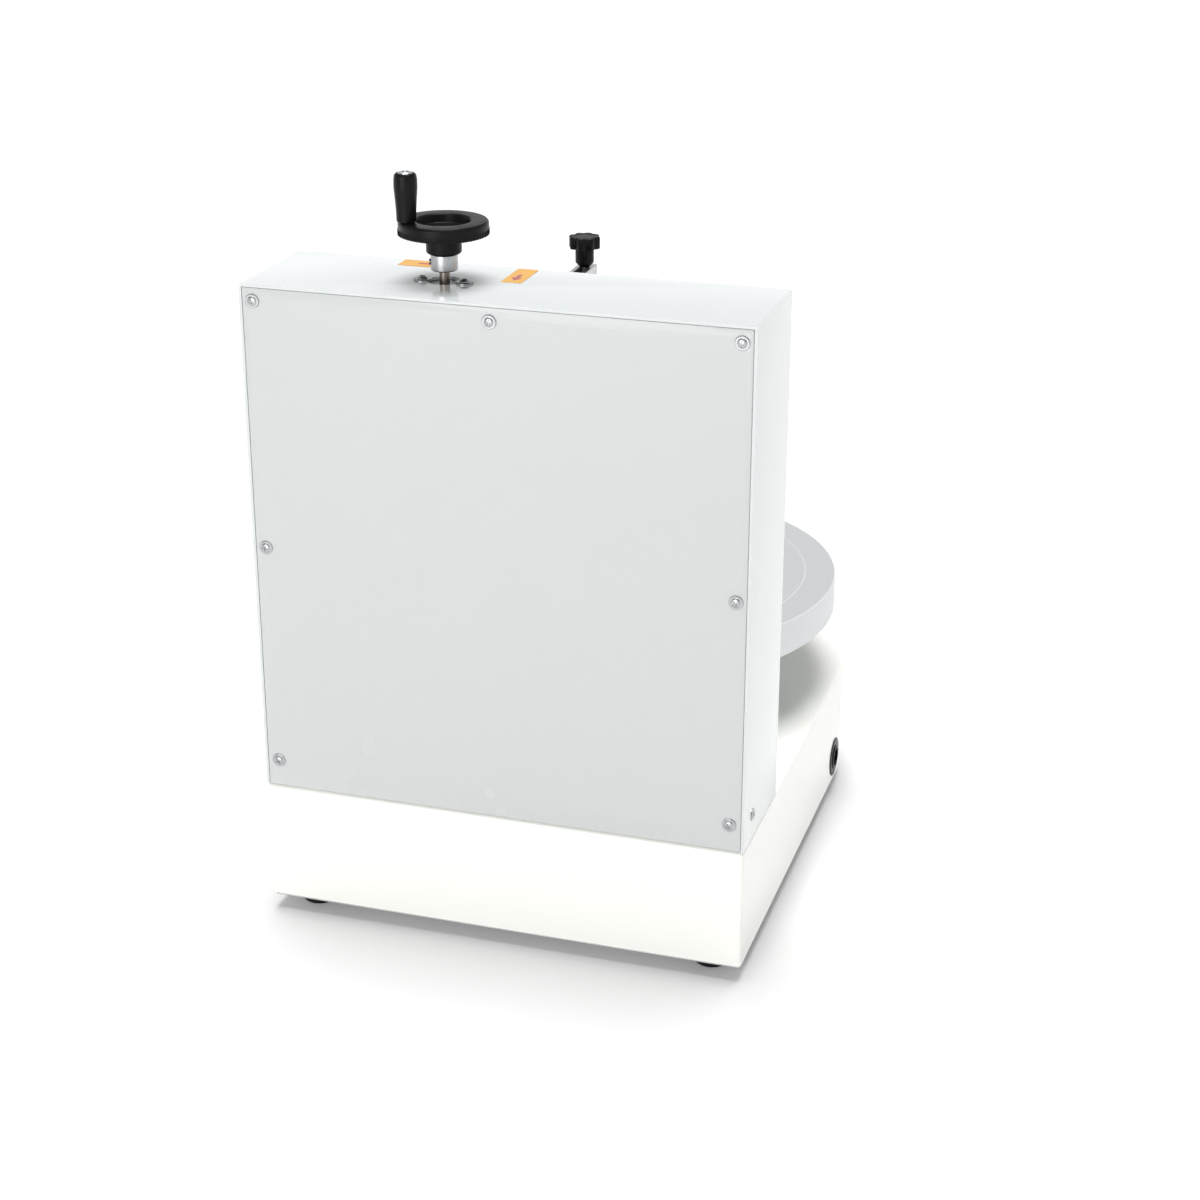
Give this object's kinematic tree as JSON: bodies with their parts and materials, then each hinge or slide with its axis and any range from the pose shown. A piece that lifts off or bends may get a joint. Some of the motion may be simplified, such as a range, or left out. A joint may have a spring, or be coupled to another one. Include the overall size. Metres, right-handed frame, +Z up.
{
  "type": "cake coating machine",
  "caption": "Countertop cake-coating machine: box base with a motor-driven turntable, lift column with a crank handwheel, top and side scrapers.",
  "frame": {"origin": "bottom centre of the bounding box, on the surface the feet stand on", "axes": "+Z up, -Y the front with the controls, +Y the back with the rear cover, +X to the right seen from the front"},
  "size_m": [0.4444, 0.5726, 0.6785],
  "materials": {
    "white_enamel": "glossy white powder coat",
    "zinc_steel": "zinc plated",
    "steel": "satin stainless steel",
    "dark_steel": "oiled steel",
    "brass": "machined",
    "aluminium": "satin anodised",
    "black_plastic": "moulded satin black",
    "rubber": "matt black rubber",
    "circuit_board": "solder mask green",
    "display": "smoked red window"
  },
  "bodies": {
    "housing": {"base_shell": "white_enamel", "floor_plate": "zinc_steel", "foot_rear_left": "rubber", "foot_rear_right": "rubber", "foot_front_left": "rubber", "foot_front_right": "rubber", "column_shell": "white_enamel", "rear_cover": "white_enamel", "cover_screw_1": "zinc_steel", "cover_screw_2": "zinc_steel", "cover_screw_3": "zinc_steel", "cover_screw_4": "zinc_steel", "cover_screw_5": "zinc_steel", "cover_screw_6": "zinc_steel", "cover_screw_7": "zinc_steel", "upper_rod_plate": "steel", "lower_rod_plate": "steel", "guide_rod_left": "steel", "guide_rod_right": "steel", "upper_bearing": "steel", "bearing_screw_1": "zinc_steel", "bearing_screw_2": "zinc_steel", "lower_bearing": "steel", "side_bracket": "steel", "spindle_housing": "aluminium", "spindle_bearing_upper": "steel", "spindle_bearing_lower": "steel", "drive_belt": "rubber", "gear_motor": "dark_steel", "control_panel": "aluminium", "speed_display": "display", "speed_control": "aluminium", "power_switch": "black_plastic", "power_inlet": "black_plastic", "pedal_socket": "black_plastic", "power_supply": "aluminium", "speed_board": "circuit_board"},
    "handwheel_screw": {"lead_screw": "dark_steel", "coupling_sleeve": "zinc_steel", "handwheel": "black_plastic", "grip_bolt": "zinc_steel"},
    "crank_grip": {"crank_grip": "black_plastic"},
    "lift_carriage": {"lift_carriage": "aluminium", "lift_nut": "brass", "rod_bush_left": "brass", "rod_bush_right": "brass", "arm_bar": "steel"},
    "top_scraper": {"scraper_holder": "steel", "top_blade": "steel"},
    "star_knob": {"star_knob": "black_plastic"},
    "side_scraper": {"side_arm": "steel", "side_blade": "steel"},
    "side_knob": {"side_knob": "black_plastic"},
    "turntable": {"turntable": "aluminium", "spindle": "steel", "table_pulley": "aluminium"},
    "motor_pulley": {"motor_pulley": "aluminium"},
    "speed_knob": {"speed_knob": "black_plastic"},
    "power_rocker": {"power_rocker": "black_plastic"}
  },
  "joints": [
    {"name": "handwheel_turn", "type": "hinge", "parent": "housing", "child": "handwheel_screw", "pos_m": [0.061, 0.2237, 0.615], "axis": [0, 0, 1], "range_deg": [-361, 10441]},
    {"name": "carriage_lift", "type": "slide", "parent": "housing", "child": "lift_carriage", "axis": [0, 0, 1], "range_m": [-0.232, 0.008]},
    {"name": "crank_grip_spin", "type": "hinge", "parent": "handwheel_screw", "child": "crank_grip", "pos_m": [0.08608, 0.24192, 0.655], "axis": [0, 0, 1], "continuous": true},
    {"name": "scraper_reach", "type": "slide", "parent": "lift_carriage", "child": "top_scraper", "axis": [0, 1, 0], "range_m": [0, 0.07]},
    {"name": "star_knob_turn", "type": "hinge", "parent": "top_scraper", "child": "star_knob", "pos_m": [0, 0.0337, 0.571], "axis": [0, 0, 1], "range_deg": [0, 360]},
    {"name": "side_arm_swing", "type": "hinge", "parent": "housing", "child": "side_scraper", "pos_m": [0.178, 0.1417, 0.365], "axis": [0, 0, -1], "range_deg": [0, 30]},
    {"name": "side_knob_turn", "type": "hinge", "parent": "housing", "child": "side_knob", "pos_m": [0.178, 0.1417, 0.425], "axis": [0, 0, 1], "range_deg": [0, 360]},
    {"name": "turntable_spin", "type": "hinge", "parent": "housing", "child": "turntable", "pos_m": [0, -0.0713, 0.215], "axis": [0, 0, 1], "continuous": true},
    {"name": "motor_spin", "type": "hinge", "parent": "housing", "child": "motor_pulley", "pos_m": [-0.128, -0.0713, 0.102], "axis": [0, 0, 1], "continuous": true},
    {"name": "speed_knob_turn", "type": "hinge", "parent": "housing", "child": "speed_knob", "pos_m": [0.034, -0.2666, 0.071], "axis": [0, 1, 0], "range_deg": [0, 280]},
    {"name": "power_rocker_tilt", "type": "hinge", "parent": "housing", "child": "power_rocker", "pos_m": [-0.035, -0.2646, 0.05], "axis": [1, 0, 0], "range_deg": [0, 16]}
  ],
  "couplings": [
    {"joint": "handwheel_turn", "follows": "carriage_lift", "rad_per_m": -785.4},
    {"joint": "motor_spin", "follows": "turntable_spin", "ratio": 3}
  ]
}
